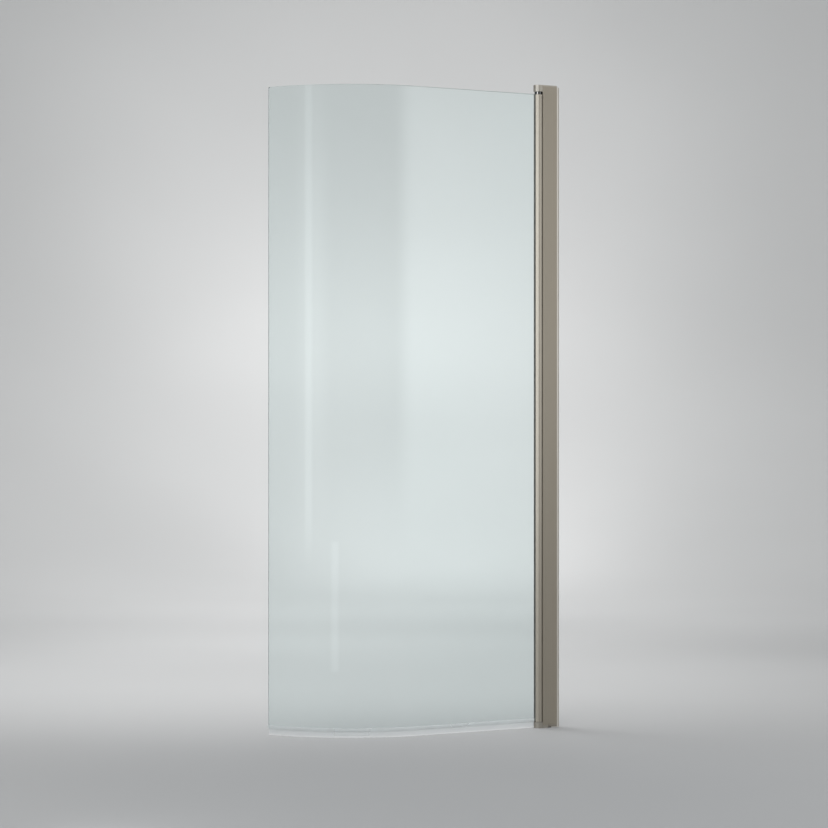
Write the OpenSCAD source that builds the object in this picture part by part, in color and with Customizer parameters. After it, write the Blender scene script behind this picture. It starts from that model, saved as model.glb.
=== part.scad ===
// Curved pivoting shower screen: a bent clear-glass leaf carried by a hinge
// tube, which turns on two pins in a telescopic wall profile.
// Millimetres, +Z up. The origin is on the wall plane, at floor level, in the
// middle of the wall channel. The wall lies on +X, the leaf reaches to -X,
// the curve turns to +Y (the shower side), and the outside is -Y.

/* [Overall] */
// Height of the frame from the floor to the top of the top bracket
frame_h = 2000; // [1800:10:2200]
// Distance from the wall to the axis that the leaf turns about
axis_d = 69.2; // [66:0.1:72]

/* [Glass] */
// Thickness of the toughened glass
glass_t = 6; // [5:0.5:6]
// Height of the bottom edge of the glass above the floor
glass_z0 = 22; // [20:1:30]
// Height of the glass sheet
glass_h = 1949; // [1750:1:1950]
// Wall to the end of the flat stretch, where the bend begins
flat_end_d = 509; // [300:0.5:650]
// Radius of the bend, to the middle of the glass
bend_r = 394; // [300:1:600]
// Angle that the glass is bent through
bend_deg = 70.4; // [40:0.1:85]

/* [Hinge tube] */
// Outer radius of the hinge tube
tube_r = 14.2; // [13.5:0.1:14.4]
// Inner radius of the hinge tube
tube_in_r = 10.3; // [9.5:0.1:10.6]
// Half the width of the slot that takes the glass and its two seals
slot_half = 5.2; // [4.8:0.1:5.6]
// Radius of the two stainless pivot pins
pin_r = 4; // [3:0.1:5]
// Running clearance between pin and bush, on the radius
pin_gap = 0.05; // [0.02:0.01:0.09]

/* [Profile] */
// Half the depth of the hinge profile, front to back
prof_y = 15; // [14.5:0.1:15.5]
// Gap between the wall and the profile, where the wall channel shows
prof_gap = 8; // [8:0.5:9]
// Wall thickness of the extrusions
prof_t = 2; // [1.8:0.1:2.4]
// Radius of the hollow that the hinge tube turns in
recess_r = 15.2; // [15:0.1:15.4]
// Radius of the round end of both brackets, about the pivot axis
block_r = 14.2; // [13.8:0.1:14.8]

/* [Wall channel] */
// Depth of the wall channel from the wall
chan_d = 28; // [26:0.5:28]
// Thickness of the channel base on the wall
chan_base = 2.5; // [2:0.1:3]
// Thickness of the thin flanges that cover the joint at the wall
chan_flange = 1.2; // [1:0.1:1.4]
// Radius of the screw holes in the channel base
wall_hole_r = 2.75; // [2:0.05:3.25]
// Heights of the screw holes in the channel base
wall_hole_z = [100, 700, 1300, 1900];
// Heights of the screws that clamp the profile to the channel
clamp_z = [300, 1000, 1700];
// How far the profile can be pushed to the wall for adjustment
adjust_in = 6.5; // [0:0.5:6.5]
// How far the profile can be drawn out from the wall for adjustment
adjust_out = 6; // [0:0.5:6]

/* [Hidden] */

ax = -axis_d;                       // pivot axis
prof_end = -(axis_d - 7.7);         // end of the profile, at the hinge side
nose_r = 1.2;                       // corner radius of that end
prof_in = -prof_gap;                // end of the profile, at the wall side
plate_t = 4;                        // plate of the top bracket
block_h = 20.7;                     // hinge block of the top bracket
bush_h = 9;                         // black collar between block and tube
block_z = frame_h - block_h;        // underside of the top hinge block
tube_z1 = block_z - bush_h;         // top end of the hinge tube
tube_z0 = 19;                       // bottom end of the hinge tube
foot_h = 18;                        // hinge block of the bottom bracket
prof_z0 = 8.6;                      // bottom end of the profile
prof_z1 = frame_h - plate_t;        // top end of the profile
chan_z1 = frame_h - 5;              // top end of the wall channel
pocket_y = prof_y - prof_t;         // half width of the pocket over the channel
chan_y = pocket_y - 0.3;            // half width of the wall channel
web_d = 36;                         // end of the pocket, from the wall
spigot_r = tube_in_r - 0.1;         // spigots of the bushes in the tube
spigot_h = 37;                      // their length
glass_z1 = glass_z0 + glass_h;
bend_x = -flat_end_d;               // start of the bend
clamp_x = -20;                      // clamp screws, from the wall
slot_r = 2.5;                       // half width of the slots for them
brk_x = ax + 24;                    // screws through the profile into the brackets
foot_x = -42;                       // wall side of the foot
notch_s = 12.6;                     // notches of the glass, from the pivot axis
strip_t = 3.6;                      // height of the cover strip over the profile

module slab(z0, z1) translate([0, 0, z0]) linear_extrude(height = z1 - z0) children();
module rect(x0, x1, y0, y1) translate([x0, y0]) square([x1 - x0, y1 - y0]);
module post(r, z0, z1, fn = 64) translate([0, 0, z0]) cylinder(r = r, h = z1 - z0, $fn = fn);
// a bar along +Y from y0 to y1
module bar_y(r, x, z, y0, y1, fn = 32)
    translate([x, y0, z]) rotate([-90, 0, 0]) cylinder(r = r, h = y1 - y0, $fn = fn);

// ---------------------------------------------------------------- wall body

// U-shaped aluminium channel that is screwed to the wall
module wall_channel() color([0.74, 0.735, 0.69])
    difference() {
        slab(0, chan_z1) union() {
            rect(-chan_base, 0, -chan_y, chan_y);
            rect(-chan_flange, 0, -prof_y + 0.3, prof_y - 0.3);
            for (s = [-1, 1]) {
                rect(-chan_d, -chan_base + 0.5, min(s * chan_y, s * (chan_y - 2)), max(s * chan_y, s * (chan_y - 2)));
                rect(-chan_d, -chan_d + 1.6, min(s * (chan_y - 1.9), s * (chan_y - 3.4)), max(s * (chan_y - 1.9), s * (chan_y - 3.4)));
            }
        }
        for (z = wall_hole_z) translate([-chan_base - 1, 0, z]) rotate([0, 90, 0])
            cylinder(r = wall_hole_r, h = chan_base + 2, $fn = 32);
        for (z = clamp_z) bar_y(2.15, clamp_x, z, chan_y - 4, chan_y + 1);
    }

// Low-head screws that clamp the profile to the channel from inside
module channel_clamp_screws() color([0.62, 0.62, 0.62])
    for (z = clamp_z) difference() {
        union() {
            bar_y(2.1, clamp_x, z, chan_y - 5.5, prof_y + 0.4);
            bar_y(3.6, clamp_x, z, prof_y + 0.3, prof_y + 2.1);
        }
        bar_y(1.2, clamp_x, z, prof_y + 0.9, prof_y + 3, 6);
    }

// --------------------------------------------------------------- frame body

// outline of the hinge profile, with rounded corners at the hinge side
module profile_outline() {
    rect(prof_end + nose_r, prof_in, -prof_y, prof_y);
    rect(prof_end, prof_end + nose_r + 1, -prof_y + nose_r, prof_y - nose_r);
    for (s = [-1, 1]) translate([prof_end + nose_r, s * (prof_y - nose_r)]) circle(r = nose_r, $fn = 32);
}

// Hinge profile: it slides over the wall channel, and its end is hollowed
// round the hinge tube
module hinge_profile() color([0.58, 0.555, 0.505])
    difference() {
        slab(prof_z0, prof_z1) difference() {
            profile_outline();
            // pocket over the wall channel
            rect(-web_d, prof_in + 1, -pocket_y, pocket_y);
            // closed chamber behind the hollow
            difference() {
                rect(prof_end - 1, -web_d - 2, -pocket_y, pocket_y);
                translate([ax, 0]) circle(r = recess_r + prof_t, $fn = 96);
                rect(prof_end, ax + 20.5, -3.4, 3.4);
            }
            // the hollow and the groove of the wiper seal in it
            translate([ax, 0]) circle(r = recess_r, $fn = 96);
            rect(ax + 14, ax + 18.7, -1.5, 1.5);
        }
        // slots that let the profile move on the clamp screws
        for (z = clamp_z) {
            bar_y(slot_r, clamp_x + adjust_out, z, pocket_y - 1, prof_y + 1);
            bar_y(slot_r, clamp_x - adjust_in, z, pocket_y - 1, prof_y + 1);
            translate([clamp_x - adjust_in, pocket_y - 1, z - slot_r])
                cube([adjust_in + adjust_out, prof_t + 2, 2 * slot_r]);
        }
        // screw holes for the brackets
        for (z = [prof_z1 - 12, prof_z0 + 12]) bar_y(2.3, brk_x, z, pocket_y - 1, prof_y + 1);
    }

// Clip-on strip that hides the clamp screws on the shower side
module inner_cover_strip() color([0.56, 0.535, 0.485])
    slab(prof_z0 + 4, prof_z1 - 4) difference() {
        rect(-34, -8.6, prof_y, prof_y + strip_t);
        rect(-32.8, -9.8, prof_y - 1, prof_y + strip_t - 1.1);
    }

// Soft strip in the hollow, which wipes the hinge tube
module tube_wiper_seal() color([0.16, 0.16, 0.155])
    slab(prof_z0 + 9, prof_z1 - 16) union() {
        rect(ax + 15.7, ax + 18.5, -1.4, 1.4);
        rect(ax + 14.4, ax + 16, -0.7, 0.7);
    }

// plan of a hinge block: round end about the axis, square end at the profile
module block_plan() {
    rect(ax, prof_end, -block_r, block_r);
    translate([ax, 0]) circle(r = block_r, $fn = 96);
}

// Top bracket: end plate over the profile, hinge block and plug in one casting
module top_bracket() color([0.575, 0.55, 0.5])
    difference() {
        union() {
            slab(prof_z1, frame_h) union() {
                rect(prof_end, -8, -prof_y, prof_y);
                block_plan();
            }
            slab(block_z, prof_z1 + 0.5) block_plan();
            slab(prof_z1 - 22, prof_z1 + 0.5) rect(ax + 20.8, -web_d - 2.3, -pocket_y + 0.2, pocket_y - 0.2);
        }
        translate([ax, 0, 0]) post(pin_r, block_z - 1, frame_h + 1);
        translate([ax, 0, 0]) post(9.65, frame_h - 1.6, frame_h + 1);
        bar_y(2.1, brk_x, prof_z1 - 12, -2, prof_y);
        bar_y(2.05, ax, block_z + 8, 0, prof_y + 2);
    }

// Button-head screw that holds the plug of the top bracket in the profile
module top_bracket_screws() color([0.62, 0.62, 0.62]) bracket_screw(prof_z1 - 12);
module bottom_bracket_screws() color([0.62, 0.62, 0.62]) bracket_screw(prof_z0 + 12);
module bracket_screw(z) difference() {
    union() {
        bar_y(2.05, brk_x, z, 0, prof_y + 0.5);
        bar_y(4, brk_x, z, prof_y, prof_y + 2);
    }
    bar_y(1.3, brk_x, z, prof_y + 0.7, prof_y + 3, 6);
}

// Stainless pin through the top block into the top bush
module top_pivot_pin() color([0.7, 0.7, 0.7])
    translate([ax, 0, 0]) difference() {
        post(pin_r, tube_z1 - spigot_h + 4, frame_h - 1.6);
        // flat that the grub screw bears on
        translate([-6, pin_r - 0.6, block_z + 4.5]) cube([12, 2, 7]);
    }

// Grub screw from the shower side that locks the top pin
module top_pin_grub_screw() color([0.4, 0.4, 0.4]) grub(block_z + 8);
module bottom_pin_grub_screw() color([0.4, 0.4, 0.4]) grub(9);
module grub(z) difference() {
    bar_y(2, ax, z, pin_r - 0.6, block_r - 1.2);
    bar_y(1, ax, z, block_r - 3.4, block_r, 6);
}

// Thin cap over the pin in the top bracket
module top_pin_cap() color([0.58, 0.555, 0.505])
    translate([ax, 0, 0]) union() {
        post(9.6, frame_h - 1.6, frame_h + 0.2);
        post(9.1, frame_h + 0.1, frame_h + 0.6);
    }

// Bottom bracket: foot on the floor, hinge block and plug in one casting
module bottom_bracket() color([0.48, 0.455, 0.41])
    difference() {
        union() {
            slab(0, prof_z0) union() {
                rect(prof_end, foot_x, -prof_y, prof_y);
                block_plan();
            }
            slab(prof_z0 - 0.5, foot_h) block_plan();
            slab(prof_z0 - 0.5, prof_z0 + 22) rect(ax + 20.8, foot_x, -pocket_y + 0.2, pocket_y - 0.2);
        }
        translate([ax, 0, 0]) post(pin_r, 2, foot_h + 1);
        bar_y(2.1, brk_x, prof_z0 + 12, -2, prof_y);
        bar_y(2.05, ax, 9, 0, prof_y + 2);
    }

// Stainless pin that stands in the bottom bracket and carries the leaf
module bottom_pivot_pin() color([0.7, 0.7, 0.7])
    translate([ax, 0, 0]) difference() {
        post(pin_r, 2, tube_z0 + spigot_h - 6.3);
        translate([-6, pin_r - 0.6, 5.5]) cube([12, 2, 7]);
    }

// Slippery washer under the hinge tube
module thrust_washer() color([0.5, 0.475, 0.43])
    translate([ax, 0, 0]) difference() {
        post(12.4, foot_h, foot_h + 0.7);
        post(pin_r + 0.1, foot_h - 1, foot_h + 2);
    }

// Cap under the open end of the profile, shaped to let the channel pass, with
// a tongue that clips into the profile
module profile_end_cap() color([0.5, 0.475, 0.43])
    union() {
        slab(3, prof_z0 - 0.6) difference() {
            rect(foot_x + 0.3, -8, -prof_y, prof_y);
            rect(-web_d - 0.3, -7, -pocket_y, pocket_y);
        }
        slab(prof_z0 - 1, prof_z0 + 8) rect(foot_x + 0.4, -web_d - 2.1, -pocket_y + 0.05, pocket_y - 0.05);
    }

// ---------------------------------------------------------------- door body

// Slotted hinge tube that grips the edge of the glass
module hinge_tube() color([0.66, 0.645, 0.605])
    slab(tube_z0, tube_z1) translate([ax, 0]) difference() {
        circle(r = tube_r, $fn = 96);
        circle(r = tube_in_r, $fn = 96);
        rect(-tube_r - 2, -2, -slot_half, slot_half);
    }

// Glossy black top bush: a collar on the tube and a spigot in it
module top_bush() color([0.03, 0.03, 0.03])
    translate([ax, 0, 0]) difference() {
        union() {
            post(11.3, tube_z1, block_z - 0.4, 96);
            post(spigot_r, tube_z1 - spigot_h, tube_z1 + 0.5, 96);
        }
        post(pin_r + pin_gap, tube_z1 - spigot_h - 1, block_z + 1);
    }

// Bottom bush: blind bore, so the pin carries the leaf
module bottom_bush() color([0.05, 0.05, 0.05])
    translate([ax, 0, 0]) difference() {
        post(spigot_r, tube_z0 + 0.2, tube_z0 + spigot_h, 96);
        post(pin_r + pin_gap, tube_z0 - 1, tube_z0 + spigot_h - 6);
    }

// Rubber blocks that set the glass in the tube
module glass_setting_blocks() color([0.1, 0.1, 0.1])
    for (z = [120, 968, 1810]) slab(z, z + 60) difference() {
        rect(ax - 6, ax + 7.5, -4.6, 4.6);
        rect(ax - 7, ax - 2, -glass_t / 2, glass_t / 2);
    }

// One glazing seal, drawn for the +Y side: it fills the slot beside the glass
// and its lip lies on the glass at the mouth of the slot
module glazing_seal_plan()
    translate([ax, 0]) polygon([[-tube_in_r - 0.2, glass_t / 2], [-tube_in_r - 0.2, slot_half], [-tube_r + 0.9, slot_half],
        [-tube_r + 0.1, slot_half - 0.3], [-tube_r - 0.5, glass_t / 2 + 0.9], [-tube_r - 0.6, glass_t / 2]]);
module outer_glazing_seal() color([0.25, 0.26, 0.25])
    slab(tube_z0 + 3, tube_z1 - 1) mirror([0, 1]) glazing_seal_plan();
module inner_glazing_seal() color([0.25, 0.26, 0.25])
    slab(tube_z0 + 3, tube_z1 - 1) glazing_seal_plan();

// Bent clear glass leaf, notched at both corners beside the bushes
module glass_panel() color([0.78, 0.88, 0.87, 0.4])
    difference() {
        slab(glass_z0, glass_z1) glass_band(ax - 2, -glass_t / 2, glass_t / 2);
        translate([ax - notch_s, -10, glass_z0 - 1]) cube([20, 20, tube_z0 + spigot_h + 2 - glass_z0]);
        translate([ax - notch_s, -10, tube_z1 - spigot_h - 1]) cube([20, 20, spigot_h + 10]);
    }

// Plan of a band that follows the glass, from u0 to u1 outwards of its middle
module glass_band(x0, u0, u1) {
    rect(bend_x, x0, -u1, -u0);
    translate([bend_x, bend_r]) intersection() {
        difference() {
            circle(r = bend_r + u1, $fn = 360);
            circle(r = bend_r + u0, $fn = 360);
        }
        polygon([[0, 0], [0, -2 * bend_r],
            [-3 * bend_r * sin(bend_deg / 2), -3 * bend_r * cos(bend_deg / 2)],
            [-2 * bend_r * sin(bend_deg), -2 * bend_r * cos(bend_deg)]]);
    }
}
// Clear sweep: it grips the bottom edge of the glass, and its lip nearly
// touches the floor
module bottom_sweep() color([0.85, 0.9, 0.9, 0.5]) {
    x0 = ax - 16.8;
    half = glass_t / 2;
    union() {
        slab(glass_z0 - 1.6, glass_z0 + 8) difference() {
            glass_band(x0, -half - 1, half + 1);
            glass_band(x0 + 1, -half, half);
        }
        slab(glass_z0 - 1.6, glass_z0) glass_band(x0, -half - 1, half + 1);
        slab(1, glass_z0 - 1.6) glass_band(x0, -0.9, 0.9);
    }
}

wall_channel();
channel_clamp_screws();
hinge_profile();
inner_cover_strip();
tube_wiper_seal();
top_bracket();
top_bracket_screws();
top_pivot_pin();
top_pin_grub_screw();
top_pin_cap();
bottom_bracket();
bottom_bracket_screws();
bottom_pivot_pin();
bottom_pin_grub_screw();
thrust_washer();
profile_end_cap();
hinge_tube();
top_bush();
bottom_bush();
glass_setting_blocks();
outer_glazing_seal();
inner_glazing_seal();
glass_panel();
bottom_sweep();
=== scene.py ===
"""Curved pivoting shower screen: looks, floor, light and camera."""
import math
import bmesh
import bpy
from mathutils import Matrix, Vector


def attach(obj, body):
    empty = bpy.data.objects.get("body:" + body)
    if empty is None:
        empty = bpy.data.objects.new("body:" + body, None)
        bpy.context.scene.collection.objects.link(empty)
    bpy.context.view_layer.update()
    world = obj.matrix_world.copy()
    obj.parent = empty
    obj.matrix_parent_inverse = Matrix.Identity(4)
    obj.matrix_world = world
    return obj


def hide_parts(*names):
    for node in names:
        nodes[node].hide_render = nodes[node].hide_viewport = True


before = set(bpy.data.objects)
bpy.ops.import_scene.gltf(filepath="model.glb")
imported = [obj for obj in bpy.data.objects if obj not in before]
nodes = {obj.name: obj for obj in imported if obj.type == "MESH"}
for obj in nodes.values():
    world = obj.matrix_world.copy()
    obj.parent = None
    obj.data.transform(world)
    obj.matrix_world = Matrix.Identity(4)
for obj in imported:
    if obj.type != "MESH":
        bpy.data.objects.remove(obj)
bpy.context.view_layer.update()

scene = bpy.context.scene

# ------------------------------------------------------------------ dimensions (mm), as the frame has them
AX = -69.2            # pivot axis
BEND_X = -509.0       # start of the bend
BEND_R = 394.0        # radius to the middle of the glass
BEND = math.radians(70.4)
FLAT = AX - BEND_X    # distance along the sheet from the axis to the bend
END = FLAT + BEND_R * BEND
GLASS_T = 6.0
GLASS_Z = (22.0, 1971.0)


def along(s, t, z):
    """A point s along the sheet from the pivot axis, t outwards from its middle, in metres."""
    if s <= FLAT:
        x, y = AX - s, -t
    else:
        a = (s - FLAT) / BEND_R
        x = BEND_X - (BEND_R + t) * math.sin(a)
        y = BEND_R - (BEND_R + t) * math.cos(a)
    return Vector((x, y, z)) / 1000.0


def new_object(name, bm, material, smooth=True, sharp_deg=None):
    mesh = bpy.data.meshes.new(name)
    bmesh.ops.recalc_face_normals(bm, faces=bm.faces[:])
    if bm.calc_volume(signed=True) < 0.0:
        bmesh.ops.reverse_faces(bm, faces=bm.faces[:])
    if sharp_deg is not None:
        for e in bm.edges:
            e.smooth = len(e.link_faces) == 2 and e.calc_face_angle(0.0) < math.radians(sharp_deg)
    for f in bm.faces:
        f.smooth = smooth
    bm.to_mesh(mesh)
    bm.free()
    obj = bpy.data.objects.new(name, mesh)
    scene.collection.objects.link(obj)
    mesh.materials.append(material)
    return obj


# ------------------------------------------------------------------ materials
def tree(name):
    m = bpy.data.materials.new(name)
    m.use_nodes = True
    nt = m.node_tree
    return m, nt, nt.nodes["Principled BSDF"]


def coords(nt, scale):
    tc = nt.nodes.new("ShaderNodeTexCoord")
    mp = nt.nodes.new("ShaderNodeMapping")
    mp.inputs["Scale"].default_value = scale
    nt.links.new(tc.outputs["Object"], mp.inputs["Vector"])
    return mp


def noise(nt, scale, detail=3.0, rough=0.5, size=1.0):
    n = nt.nodes.new("ShaderNodeTexNoise")
    n.inputs["Scale"].default_value = size
    n.inputs["Detail"].default_value = detail
    n.inputs["Roughness"].default_value = rough
    nt.links.new(coords(nt, scale).outputs["Vector"], n.inputs["Vector"])
    return n


def ramp(nt, source, a, b, lo=0.3, hi=0.7):
    r = nt.nodes.new("ShaderNodeValToRGB")
    r.color_ramp.elements[0].position = lo
    r.color_ramp.elements[1].position = hi
    r.color_ramp.elements[0].color = (*a, 1.0)
    r.color_ramp.elements[1].color = (*b, 1.0)
    nt.links.new(source, r.inputs["Fac"])
    return r


def spread(nt, source, lo, hi):
    r = nt.nodes.new("ShaderNodeMapRange")
    r.inputs["From Min"].default_value = 0.3
    r.inputs["From Max"].default_value = 0.7
    r.inputs["To Min"].default_value = lo
    r.inputs["To Max"].default_value = hi
    nt.links.new(source, r.inputs["Value"])
    return r


def mixed(nt, a, b, fac):
    m = nt.nodes.new("ShaderNodeMix")
    m.data_type = "FLOAT"
    m.inputs["Factor"].default_value = fac
    nt.links.new(a, m.inputs[2])
    nt.links.new(b, m.inputs[3])
    return m


def bump(nt, source, bsdf, strength, distance):
    b = nt.nodes.new("ShaderNodeBump")
    b.inputs["Strength"].default_value = strength
    b.inputs["Distance"].default_value = distance
    nt.links.new(source, b.inputs["Height"])
    nt.links.new(b.outputs["Normal"], bsdf.inputs["Normal"])
    return b


def anodised(name, dark, light, metallic=0.75, rough=(0.34, 0.44), lines=(900.0, 900.0, 1.2), depth=0.00003):
    """Anodised aluminium: fine drawing lines along the extrusion, a matt pearly grain and soft clouding."""
    m, nt, p = tree(name)
    fine = noise(nt, lines, 4.0, 0.6)
    cloud = noise(nt, (5.0, 5.0, 0.9), 2.0, 0.5)
    grain = noise(nt, (5200.0, 5200.0, 5200.0), 1.0, 0.5)
    both = mixed(nt, fine.outputs["Fac"], cloud.outputs["Fac"], 0.45)
    nt.links.new(ramp(nt, both.outputs[0], dark, light).outputs["Color"], p.inputs["Base Color"])
    rg = mixed(nt, fine.outputs["Fac"], grain.outputs["Fac"], 0.5)
    nt.links.new(spread(nt, rg.outputs[0], *rough).outputs["Result"], p.inputs["Roughness"])
    p.inputs["Metallic"].default_value = metallic
    p.inputs["Specular IOR Level"].default_value = 0.45
    bump(nt, rg.outputs[0], p, 0.35, depth)
    return m


def steel(name, dark, light, lines=(300.0, 300.0, 300.0)):
    m, nt, p = tree(name)
    fine = noise(nt, lines, 5.0, 0.65)
    nt.links.new(ramp(nt, fine.outputs["Fac"], dark, light).outputs["Color"], p.inputs["Base Color"])
    nt.links.new(spread(nt, fine.outputs["Fac"], 0.2, 0.36).outputs["Result"], p.inputs["Roughness"])
    p.inputs["Metallic"].default_value = 1.0
    bump(nt, fine.outputs["Fac"], p, 0.25, 0.00002)
    return m


def moulded(name, dark, light, rough, coat=0.0, size=900.0, depth=0.00002):
    m, nt, p = tree(name)
    fine = noise(nt, (size, size, size), 3.0, 0.55)
    nt.links.new(ramp(nt, fine.outputs["Fac"], dark, light).outputs["Color"], p.inputs["Base Color"])
    nt.links.new(spread(nt, fine.outputs["Fac"], *rough).outputs["Result"], p.inputs["Roughness"])
    p.inputs["Coat Weight"].default_value = coat
    p.inputs["Coat Roughness"].default_value = 0.06
    bump(nt, fine.outputs["Fac"], p, 0.3, depth)
    return m


def clear(name, tint_lo, tint_hi, rough, ior, absorb, density, wave, fine=None):
    """Clear glass or plastic: nearly white, with its colour in the depth of the material."""
    m, nt, p = tree(name)
    soft = noise(nt, (2.2, 2.2, 0.7), 1.0, 0.4)
    nt.links.new(ramp(nt, soft.outputs["Fac"], tint_lo, tint_hi).outputs["Color"], p.inputs["Base Color"])
    nt.links.new(spread(nt, soft.outputs["Fac"], *rough).outputs["Result"], p.inputs["Roughness"])
    p.inputs["Transmission Weight"].default_value = 1.0
    p.inputs["IOR"].default_value = ior
    if fine:
        ground = noise(nt, (fine, fine, fine), 2.0, 0.5)
        bump(nt, ground.outputs["Fac"], p, 0.4, wave)
    elif wave:
        bump(nt, soft.outputs["Fac"], p, 0.5, wave)
    if density:
        v = nt.nodes.new("ShaderNodeVolumeAbsorption")
        v.inputs["Color"].default_value = (*absorb, 1.0)
        v.inputs["Density"].default_value = density
        nt.links.new(v.outputs["Volume"], nt.nodes["Material Output"].inputs["Volume"])
    return m


PROFILE = anodised("anodised_profile", (0.312, 0.280, 0.228), (0.352, 0.318, 0.262))
TUBE = anodised("anodised_tube", (0.330, 0.300, 0.246), (0.372, 0.340, 0.284), rough=(0.28, 0.36))
BRACKET = anodised("anodised_bracket", (0.318, 0.296, 0.254), (0.344, 0.322, 0.278), lines=(1500.0, 1500.0, 1500.0), rough=(0.26, 0.34),
                   depth=0.000010)
# painted sheen: a much paler copy of the anodised finish, standing in for the bright wall that the strip's rounded
# edge reflects
PAINTED_SHEEN_CHANNEL = anodised("anodised_channel", (0.68, 0.655, 0.605), (0.74, 0.715, 0.665), rough=(0.34, 0.44))
STEEL = steel("steel_screw", (0.50, 0.50, 0.49), (0.66, 0.66, 0.65))
PIN = steel("stainless_pin", (0.56, 0.56, 0.55), (0.70, 0.70, 0.69), lines=(120.0, 120.0, 900.0))
WIPER = moulded("wiper_rubber", (0.165, 0.150, 0.125), (0.205, 0.188, 0.160), (0.5, 0.68), size=1500.0, depth=0.00004)
BUSH = moulded("bush_plastic", (0.006, 0.006, 0.006), (0.014, 0.014, 0.014), (0.10, 0.16), coat=1.0)
CAP = moulded("end_cap_plastic", (0.212, 0.192, 0.158), (0.250, 0.228, 0.190), (0.42, 0.55))
RUBBER = moulded("seal_rubber", (0.155, 0.158, 0.146), (0.200, 0.203, 0.190), (0.5, 0.68), size=1500.0, depth=0.00004)
TEAL = (0.0, 0.50, 0.47)
GLASS = clear("clear_glass", (0.965, 0.985, 0.985), (0.99, 1.0, 1.0), (0.0, 0.006), 1.5, TEAL, 18.0, 0.00012)
GLASS_EDGE = clear("glass_edge", (0.22, 0.32, 0.32), (0.30, 0.42, 0.42), (0.22, 0.34), 1.5, TEAL, 12.0, 0.00002, fine=2500.0)
GLASS_RIM = clear("glass_rim", (0.40, 0.60, 0.57), (0.50, 0.70, 0.67), (0.14, 0.24), 1.5, TEAL, 12.0, 0.00002, fine=2500.0)
GLASS_RIM.node_tree.nodes["Principled BSDF"].inputs["Transmission Weight"].default_value = 0.55
PVC = clear("clear_pvc", (0.90, 0.935, 0.94), (0.96, 0.98, 0.985), (0.22, 0.36), 1.42, (0.2, 0.6, 0.6), 8.0, 0.00002, fine=900.0)
PVC.node_tree.nodes["Principled BSDF"].inputs["Transmission Weight"].default_value = 0.40
LIP = clear("soft_lip", (0.90, 0.92, 0.92), (0.96, 0.97, 0.97), (0.30, 0.42), 1.42, (0.2, 0.6, 0.6), 4.0, 0.00002, fine=900.0)
LIP.node_tree.nodes["Principled BSDF"].inputs["Transmission Weight"].default_value = 0.08

LOOKS = {
    "wall_channel": PAINTED_SHEEN_CHANNEL, "channel_clamp_screws": STEEL,
    "hinge_profile": PROFILE, "inner_cover_strip": PROFILE, "tube_wiper_seal": WIPER,
    "top_bracket": BRACKET, "top_bracket_screws": STEEL, "top_pivot_pin": PIN, "top_pin_grub_screw": STEEL,
    "top_pin_cap": BRACKET, "bottom_bracket": BRACKET, "bottom_bracket_screws": STEEL,
    "bottom_pivot_pin": PIN, "bottom_pin_grub_screw": STEEL, "thrust_washer": CAP, "profile_end_cap": CAP,
    "hinge_tube": TUBE, "top_bush": BUSH, "bottom_bush": BUSH, "glass_setting_blocks": RUBBER,
    "outer_glazing_seal": RUBBER, "inner_glazing_seal": RUBBER, "glass_panel": GLASS, "bottom_sweep": PVC,
}
ROUNDING = {  # edge rounding in mm
    "wall_channel": 0.25, "hinge_profile": 0.5, "inner_cover_strip": 0.4, "top_bracket": 0.4, "bottom_bracket": 0.7,
    "profile_end_cap": 0.3, "top_pin_cap": 0.15, "hinge_tube": 0.3, "top_bush": 0.45, "thrust_washer": 0.12,
    "channel_clamp_screws": 0.25, "top_bracket_screws": 0.3, "bottom_bracket_screws": 0.3,
    "top_pin_grub_screw": 0.15, "bottom_pin_grub_screw": 0.15,
}
for name, obj in nodes.items():
    obj.data.materials.clear()
    obj.data.materials.append(LOOKS[name])
    if name in ROUNDING:
        weld = obj.modifiers.new("weld", "WELD")
        weld.merge_threshold = 0.00001
        bevel = obj.modifiers.new("edge", "BEVEL")
        bevel.width = ROUNDING[name] / 1000.0
        bevel.segments = 2
        bevel.limit_method = "ANGLE"
        bevel.angle_limit = math.radians(38)
        bevel.use_clamp_overlap = True
        weighted = obj.modifiers.new("normals", "WEIGHTED_NORMAL")
        weighted.weight = 80


# ------------------------------------------------------------------ the glass leaf
def outline(corner=4.0):
    """The developed outline of the sheet as (s, z), with its notches and two small rounded corners."""
    z0, z1 = GLASS_Z
    pts = [(2.0, 57.0), (12.6, 57.0), (12.6, z0)]
    for k in range(7):
        a = math.radians(-90 + 15 * k)
        pts.append((END - corner + corner * math.cos(a), z0 + corner + corner * math.sin(a)))
    for k in range(7):
        a = math.radians(15 * k)
        pts.append((END - corner + corner * math.cos(a), z1 - corner + corner * math.sin(a)))
    return pts + [(12.6, z1), (12.6, 1933.3), (2.0, 1933.3)]


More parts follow.
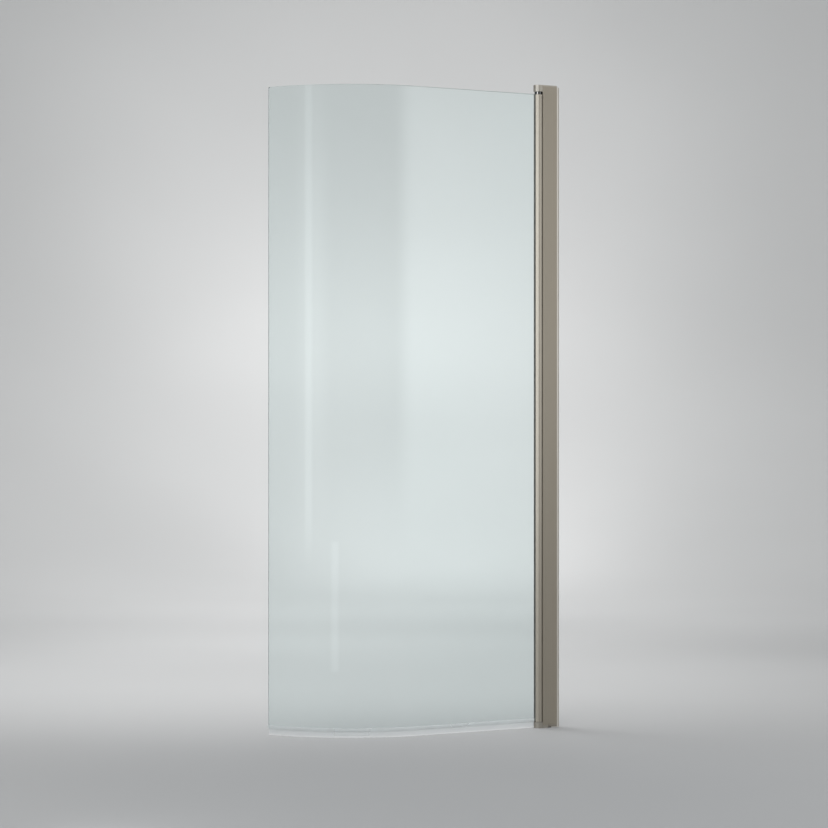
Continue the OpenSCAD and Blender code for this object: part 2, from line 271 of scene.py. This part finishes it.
def glass_leaf():
    bm = bmesh.new()
    half = GLASS_T / 2
    front = [bm.verts.new((s, -half, z)) for s, z in outline()]
    back = [bm.verts.new((s, half, z)) for s, z in outline()]
    faces = [bm.faces.new(front), bm.faces.new(back[::-1])]
    n = len(front)
    for i in range(n):
        j = (i + 1) % n
        bm.faces.new((front[j], front[i], back[i], back[j]))
    rim = [e for f in faces for e in f.edges]
    bmesh.ops.bevel(bm, geom=list(set(rim)), offset=0.7, offset_type="OFFSET", segments=2, profile=0.5,
                    affect="EDGES", clamp_overlap=True)
    cuts = [20.0, 60.0, 160.0, 300.0, 400.0] + [FLAT + BEND_R * BEND * k / 120 for k in range(0, 120)]
    for s in cuts:
        bmesh.ops.bisect_plane(bm, geom=bm.verts[:] + bm.edges[:] + bm.faces[:], dist=1e-5,
                               plane_co=(s, 0, 0), plane_no=(1, 0, 0))
    for z in (60.0, 400.0, 750.0, 1100.0, 1450.0, 1800.0, 1930.0):
        bmesh.ops.bisect_plane(bm, geom=bm.verts[:] + bm.edges[:] + bm.faces[:], dist=1e-5,
                               plane_co=(0, 0, z), plane_no=(0, 0, 1))
    bm.normal_update()
    for f in bm.faces:
        f.material_index = 0 if abs(f.normal.y) > 0.95 else (1 if f.normal.x > 0.5 else 2)
    for v in bm.verts:
        v.co = along(v.co.x, -v.co.y, v.co.z)
    return new_object("glass_leaf", bm, GLASS, sharp_deg=12)


leaf = glass_leaf()
leaf.data.materials.append(GLASS_EDGE)
leaf.data.materials.append(GLASS_RIM)
leaf.visible_shadow = False
leaf.visible_diffuse = False
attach(leaf, "door")
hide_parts("glass_panel")


# ------------------------------------------------------------------ the clear sweep under the glass
LIP_TOP = 6.0


def sweep_section():
    """Closed section (t, z): two legs on the glass, a web, a drip fin to the shower side and a soft lip."""
    pts = [(-3.08, 21.8), (-3.08, 29.2), (-3.35, 30.0), (-3.9, 29.6), (-4.0, 28.5), (-4.0, 21.6), (-4.6, 20.4),
           (-5.4, 17.6), (-6.0, 15.0), (-6.1, 13.9), (-5.8, 13.6), (-5.4, 14.4), (-4.8, 17.0), (-3.6, 19.3), (-1.9, 20.2),
           (-1.0, 19.4), (-0.85, 16.0), (-0.8, LIP_TOP)]
    for k in range(0, 9):
        a = math.radians(150 + 240 * k / 8)
        pts.append((1.5 * math.cos(a), 2.7 + 1.5 * math.sin(a)))
    pts += [(0.8, LIP_TOP), (0.85, 16.0), (1.0, 19.4), (1.9, 20.4), (3.2, 20.5), (4.0, 21.4), (4.0, 28.5),
            (3.9, 29.6), (3.35, 30.0), (3.08, 29.2), (3.08, 21.8)]
    return pts


def sweep():
    bm = bmesh.new()
    section = sweep_section()
    n1, n2 = 14, 110
    stations = [16.8 + (FLAT - 16.8) * k / n1 for k in range(n1)] + [FLAT + (END - FLAT) * k / n2 for k in range(n2 + 1)]
    rings = []
    for s in stations:
        wave = 0.10 * math.sin(s / 37.0) + 0.07 * math.sin(s / 11.3 + 1.0)
        ring = []
        for t, z in section:
            loose = max(0.0, min(1.0, (18.0 - z) / 14.0))
            ring.append(bm.verts.new(along(s, t + wave * loose, z)))
        rings.append(ring)
    n = len(section)
    for a, b in zip(rings, rings[1:]):
        for i in range(n):
            j = (i + 1) % n
            f = bm.faces.new((a[i], a[j], b[j], b[i]))
            f.material_index = 1 if max(section[i][1], section[j][1]) <= LIP_TOP else 0
    bm.faces.new(rings[0])
    bm.faces.new(rings[-1][::-1])
    obj = new_object("sweep_seal", bm, PVC, sharp_deg=50)
    obj.data.materials.append(LIP)
    return obj


sweep_obj = sweep()
sweep_obj.visible_shadow = False
sweep_obj.visible_diffuse = False
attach(sweep_obj, "door")
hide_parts("bottom_sweep")


# ------------------------------------------------------------------ floor and backdrop, one seamless bowl
MIDDLE = Vector((-0.4, 0.0, 0.0))
FLOOR_R, FILLET, WALL_TOP = 6.2, 6.6, 7.0


def paint_with_painted_shade():
    """Matt pale paint with a painted shade: a deeper grey painted on the floor under the object, paler towards the
    backdrop.
    """
    m, nt, p = tree("pale_floor")
    tc = nt.nodes.new("ShaderNodeTexCoord")
    n = noise(nt, (0.5, 0.5, 0.5), 2.0, 0.5)
    ln = nt.nodes.new("ShaderNodeVectorMath")
    ln.operation = "DISTANCE"
    ln.inputs[1].default_value = (-0.60, -1.25, 0.0)
    nt.links.new(tc.outputs["Object"], ln.inputs[0])
    steps = []
    for kind, lo, hi in (("SMOOTHSTEP", 0.2, 2.5), ("LINEAR", 2.4, 12.5)):
        r = nt.nodes.new("ShaderNodeMapRange")
        r.interpolation_type = kind
        r.inputs["From Min"].default_value = lo
        r.inputs["From Max"].default_value = hi
        nt.links.new(ln.outputs["Value"], r.inputs["Value"])
        steps.append(r)
    # painted shade: the deeper grey under the object stands in for its shadow on the floor
    under = ramp(nt, n.outputs["Fac"], (0.390, 0.397, 0.403), (0.407, 0.414, 0.420))
    floor = ramp(nt, n.outputs["Fac"], (0.452, 0.455, 0.455), (0.472, 0.475, 0.475))
    wall = ramp(nt, n.outputs["Fac"], (0.566, 0.569, 0.567), (0.590, 0.593, 0.591))
    last = under
    for step, colour in zip(steps, (floor, wall)):
        mx = nt.nodes.new("ShaderNodeMix")
        mx.data_type = "RGBA"
        nt.links.new(step.outputs["Result"], mx.inputs["Factor"])
        nt.links.new(last.outputs[2 if last.bl_idname == "ShaderNodeMix" else "Color"], mx.inputs[6])
        nt.links.new(colour.outputs["Color"], mx.inputs[7])
        last = mx
    nt.links.new(last.outputs[2], p.inputs["Base Color"])
    p.inputs["Roughness"].default_value = 0.7
    p.inputs["Specular IOR Level"].default_value = 0.15
    return m


def bowl():
    bm = bmesh.new()
    profile = [(0.0, 0.0), (2.0, 0.0), (4.0, 0.0), (5.6, 0.0), (6.1, 0.0)]
    profile += [(FLOOR_R + FILLET * math.sin(a), FILLET * (1 - math.cos(a))) for a in [math.pi / 2 * k / 32 for k in range(33)]]
    profile += [(FLOOR_R + FILLET, WALL_TOP)]
    seg = 96
    rings = []
    for r, z in profile:
        if r == 0.0:
            rings.append([bm.verts.new((0, 0, z))])
        else:
            rings.append([bm.verts.new((r * math.cos(2 * math.pi * k / seg), r * math.sin(2 * math.pi * k / seg), z)) for k in range(seg)])
    for k in range(seg):
        bm.faces.new((rings[0][0], rings[1][k], rings[1][(k + 1) % seg]))
    for a, b in zip(rings[1:], rings[2:]):
        for k in range(seg):
            j = (k + 1) % seg
            bm.faces.new((a[k], b[k], b[j], a[j]))
    return new_object("backdrop", bm, paint_with_painted_shade())


backdrop = bowl()
backdrop.location = MIDDLE


# ------------------------------------------------------------------ light
world = bpy.data.worlds.new("studio")
scene.world = world
world.use_nodes = True
bg = world.node_tree.nodes["Background"]
bg.inputs["Color"].default_value = (0.98, 0.99, 1.0, 1.0)
bg.inputs["Strength"].default_value = 0.90


def softbox(name, place, target, size, radiance, colour=(1.0, 1.0, 1.0), soft=None, mirror=True):
    """An area light given by its radiance; soft is the share of its width that fades out at each side."""
    data = bpy.data.lights.new(name, "AREA")
    data.shape = "RECTANGLE"
    data.size, data.size_y = size
    data.energy = radiance * math.pi * size[0] * size[1]
    data.color = colour
    if soft:
        data.use_nodes = True
        nt = data.node_tree
        geo = nt.nodes.new("ShaderNodeNewGeometry")
        sep = nt.nodes.new("ShaderNodeSeparateXYZ")
        nt.links.new(geo.outputs["Parametric"], sep.inputs["Vector"])
        both = nt.nodes.new("ShaderNodeMath")
        both.operation = "MULTIPLY"
        for k in (0, 1):
            ping = nt.nodes.new("ShaderNodeMath")
            ping.operation = "PINGPONG"
            ping.inputs[1].default_value = 0.5
            nt.links.new(sep.outputs[k], ping.inputs[0])
            fade = nt.nodes.new("ShaderNodeMapRange")
            fade.interpolation_type = "SMOOTHSTEP"
            fade.inputs["From Min"].default_value = 0.0
            fade.inputs["From Max"].default_value = soft[k]
            nt.links.new(ping.outputs[0], fade.inputs["Value"])
            nt.links.new(fade.outputs["Result"], both.inputs[k])
        nt.links.new(both.outputs[0], nt.nodes["Emission"].inputs["Strength"])
    obj = bpy.data.objects.new(name, data)
    scene.collection.objects.link(obj)
    obj.location = place
    obj.rotation_mode = "QUATERNION"
    obj.rotation_quaternion = (Vector(target) - Vector(place)).to_track_quat("-Z", "Y")
    obj.visible_camera = False
    obj.visible_glossy = mirror
    return obj


def at(azimuth_deg, r, z, centre=(-0.6, 0.1)):
    a = math.radians(azimuth_deg)
    return (centre[0] + r * math.cos(a), centre[1] + r * math.sin(a), z)


def only_for(light, names):
    """Restrict a light to a few pieces."""
    group = bpy.data.collections.new(light.name + "_receivers")
    for name in names:
        group.objects.link(nodes[name] if name in nodes else bpy.data.objects[name])
    light.light_linking.receiver_collection = group


softbox("side_wide", at(203, 6.0, 1.6), (-0.6, 0.1, 1.2), (4.4, 3.2), 0.62, soft=(0.5, 0.45))
softbox("side_strip", (-3.07, -0.67, 1.46), (-0.81, 0.14, 1.46), (0.46, 2.26), 0.56, soft=(0.35, 0.14))
softbox("low_strip", (-2.19, -1.31, 0.26), (-0.75, 0.08, 0.26), (0.42, 0.50), 0.50, soft=(0.4, 0.04))
softbox("front", at(301.8, 6.0, 1.8), (-0.3, 0.0, 1.3), (5.6, 3.4), 1.22, soft=(0.45, 0.35))
softbox("over", (-3.2, -3.8, 6.4), (-0.4, 0.0, 0.8), (3.2, 3.2), 2.0, (1.0, 0.99, 0.975), mirror=False)
METAL = ["hinge_tube", "top_bracket", "top_pin_cap", "bottom_bracket"]
for name, azimuth, width, radiance, fade in (("kicker", 206, 9.0, 2.1, 0.25), ("kicker_middle", 251, 4.8, 1.8, 0.45), ("kicker_end", 338, 4.5, 0.9, 0.3)):
    only_for(softbox(name, at(azimuth, 5.0, 1.75), (-0.07, 0.0, 1.5), (width, 3.4), radiance, (0.96, 1.0, 1.07), soft=(fade, 0.25)), METAL)
glint = softbox("glint", at(219, 5.0, 2.5), (-0.07, 0.0, 1.98), (0.9, 1.6), 27.0)
only_for(glint, ["top_bush"])
glint_2 = softbox("glint_front", at(332, 5.0, 2.5), (-0.07, 0.0, 1.98), (1.2, 1.6), 7.0)
only_for(glint_2, ["top_bush"])



def glow(name, place, target, energy, size_deg):
    """A soft spot that lights the backdrop only, behind the object."""
    data = bpy.data.lights.new(name, "SPOT")
    data.energy = energy
    data.spot_size = math.radians(size_deg)
    data.spot_blend = 1.0
    data.shadow_soft_size = 0.5
    obj = bpy.data.objects.new(name, data)
    scene.collection.objects.link(obj)
    obj.location = place
    obj.rotation_mode = "QUATERNION"
    obj.rotation_quaternion = (Vector(target) - Vector(place)).to_track_quat("-Z", "Y")
    obj.visible_camera = False
    obj.visible_glossy = False
    obj.visible_transmission = False
    return obj


def behind(distance, side, z=0.0):
    """A point behind the object, by its distance along the view and its offset to the right of it."""
    return (-5.147 + 0.52696 * distance + 0.84989 * side, -7.457 + 0.84989 * distance - 0.52696 * side, z)


glow("glow_near", behind(10.1, -0.5, 4.6), behind(10.7, -0.5), 440.0, 62.0)
glow("glow_mid", behind(11.6, -0.1, 4.6), behind(13.1, -0.1), 95.0, 56.0)
glow("glow_far", behind(12.3, -0.3, 4.6), behind(13.9, -0.3), 178.0, 66.0)
glow("glow_seam", behind(13.0, 0.2, 3.8), behind(15.7, 0.2, 0.03), 92.0, 34.0)
glow("glow_floor", behind(10.9, -0.4, 4.6), behind(15.1, -0.4), 170.0, 72.0)
glow("glow_foot", behind(13.0, 0.2, 3.6), behind(16.7, 0.2, 0.25), 294.0, 32.0)
glow("glow_low", behind(10.3, -0.3, 4.6), behind(16.5, -0.3, 0.4), 688.0, 52.0)
glow("glow_core", behind(12.3, 0.0, 4.5), behind(18.2, 0.0, 0.6), 370.0, 38.0)
glow("glow_wide", behind(12.0, -0.2, 4.6), behind(19.0, -0.3, 1.0), 58.0, 60.0)
glow("glow_wall", behind(13.5, -0.2, 4.4), behind(20.5, -0.3, 1.8), 262.0, 64.0)
glow("glow_top", behind(15.0, -0.15, 3.7), behind(21.6, -0.3, 2.2), 277.0, 60.0)

# ------------------------------------------------------------------ camera
cam_data = bpy.data.cameras.new("camera")
cam_data.sensor_width = 36.0
cam_data.lens = 125.9
cam_data.shift_y = -0.0083
cam = bpy.data.objects.new("camera", cam_data)
scene.collection.objects.link(cam)
cam.location = (-5.147, -7.457, 0.998)
cam.rotation_euler = (math.radians(90), 0.0, math.radians(-31.8))
scene.camera = cam
scene.view_settings.view_transform = "Standard"
